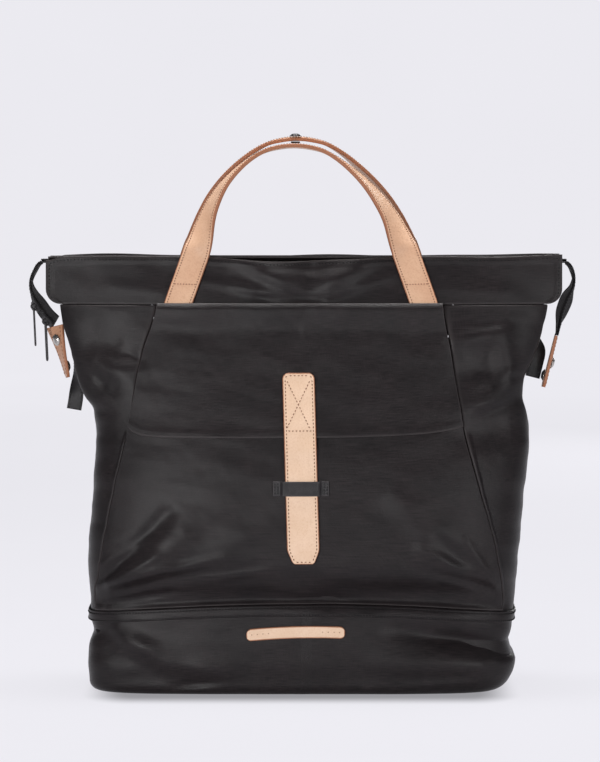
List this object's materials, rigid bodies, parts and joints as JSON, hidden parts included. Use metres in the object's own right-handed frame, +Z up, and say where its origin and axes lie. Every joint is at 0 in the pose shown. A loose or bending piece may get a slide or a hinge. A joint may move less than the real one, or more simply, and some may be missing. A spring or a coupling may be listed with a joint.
{
  "type": "convertible backpack",
  "caption": "Soft zip-top bag with a flared body, flap pocket, two leather handles and two padded shoulder straps on its back.",
  "frame": {"origin": "middle of the flat base, on the surface the bag stands on", "axes": "+Z up, -Y out of the front face with the flap, +X to the right of someone who faces the front"},
  "size_m": [0.5189, 0.2012, 0.5243],
  "materials": {
    "canvas": "black coated cotton canvas, fine weave, soft sheen",
    "webbing": "black woven tape, matt",
    "leather": "natural vegetable-tanned leather, burnished edges",
    "black_leather": "black leather, satin",
    "dark_metal": "gunmetal plating, satin",
    "steel": "nickel-plated, satin",
    "plastic": "black moulded nylon"
  },
  "bodies": {
    "root": {"base_panel": "canvas", "seam_band": "canvas", "front_panel": "canvas", "back_panel": "canvas", "pocket_panel": "canvas", "flap": "canvas", "yoke_front": "canvas", "yoke_back": "canvas", "handle_front": "leather", "handle_back": "leather", "handle_stud": "dark_metal", "handle_cap": "dark_metal", "closure_strap": "leather", "strap_keeper": "black_leather", "name_plate": "leather", "zip_tape": "webbing", "zip_coil": "plastic", "zip_gusset_front": "canvas", "zip_gusset_back": "canvas", "zip_slider_1": "dark_metal", "zip_slider_2": "dark_metal", "zip_pull_1": "dark_metal", "zip_pull_2": "dark_metal", "side_panel_left": "canvas", "side_panel_right": "canvas", "gusset_top_left": "canvas", "gusset_top_right": "canvas", "zip_tab_left": "leather", "zip_tab_right": "leather", "tab_rivet_left": "steel", "tab_rivet_right": "steel", "tab_snap_left": "steel", "tab_snap_right": "steel", "side_strap_left": "black_leather", "side_strap_right": "black_leather", "back_anchor": "canvas", "shoulder_pad_left": "canvas", "shoulder_pad_right": "canvas", "strap_webbing_left": "webbing", "strap_webbing_right": "webbing", "strap_adjuster_left": "plastic", "strap_adjuster_right": "plastic"}
  },
  "joints": []
}
